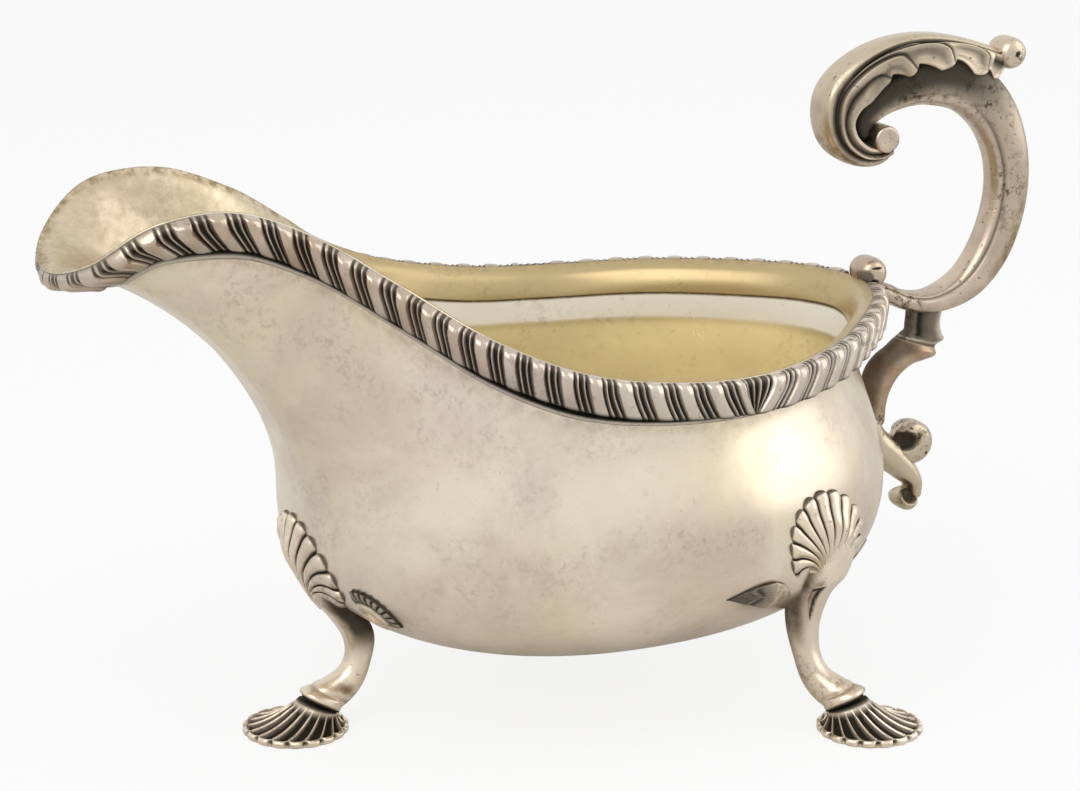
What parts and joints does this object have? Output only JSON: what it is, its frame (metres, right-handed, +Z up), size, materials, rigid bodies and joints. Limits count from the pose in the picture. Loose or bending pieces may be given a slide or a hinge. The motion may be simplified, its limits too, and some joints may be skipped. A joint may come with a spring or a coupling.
{
  "type": "sauce boat",
  "caption": "Silver sauce boat with a long open pouring lip, gadrooned rim, leaf-capped scroll handle and shell-footed cabriole legs.",
  "frame": {"origin": "on the table, under the middle of the whole object's box", "axes": "+Z up, +X from the pouring lip towards the handle, +Y to the left of someone who looks from the lip to the handle"},
  "size_m": [0.2088, 0.1126, 0.1275],
  "materials": {
    "bowl_silver": "satin",
    "border_silver": "satin",
    "handle_silver": "satin",
    "leg_silver": "satin"
  },
  "bodies": {
    "root": {"bowl": "bowl_silver", "gadroon_front_left": "border_silver", "gadroon_rear_left": "border_silver", "gadroon_front_right": "border_silver", "gadroon_rear_right": "border_silver", "rim_wire_left": "border_silver", "rim_wire_right": "border_silver", "handle_arm": "handle_silver", "handle_leaf": "handle_silver", "handle_roll_end": "handle_silver", "handle_top_curl": "handle_silver", "handle_thumb_volute": "handle_silver", "handle_bracket": "handle_silver", "handle_tail": "handle_silver", "handle_tail_volute": "handle_silver", "handle_tail_curl": "handle_silver", "leg_front": "leg_silver", "knee_shell_front": "leg_silver", "foot_shell_front": "leg_silver", "wing_fan_front_right": "leg_silver", "wing_fan_front_left": "leg_silver", "leg_rear_right": "leg_silver", "knee_shell_rear_right": "leg_silver", "foot_shell_rear_right": "leg_silver", "wing_fan_rear_right_back": "leg_silver", "wing_fan_rear_right_fore": "leg_silver", "leg_rear_left": "leg_silver", "knee_shell_rear_left": "leg_silver", "foot_shell_rear_left": "leg_silver", "wing_fan_rear_left_back": "leg_silver", "wing_fan_rear_left_fore": "leg_silver"}
  },
  "joints": []
}
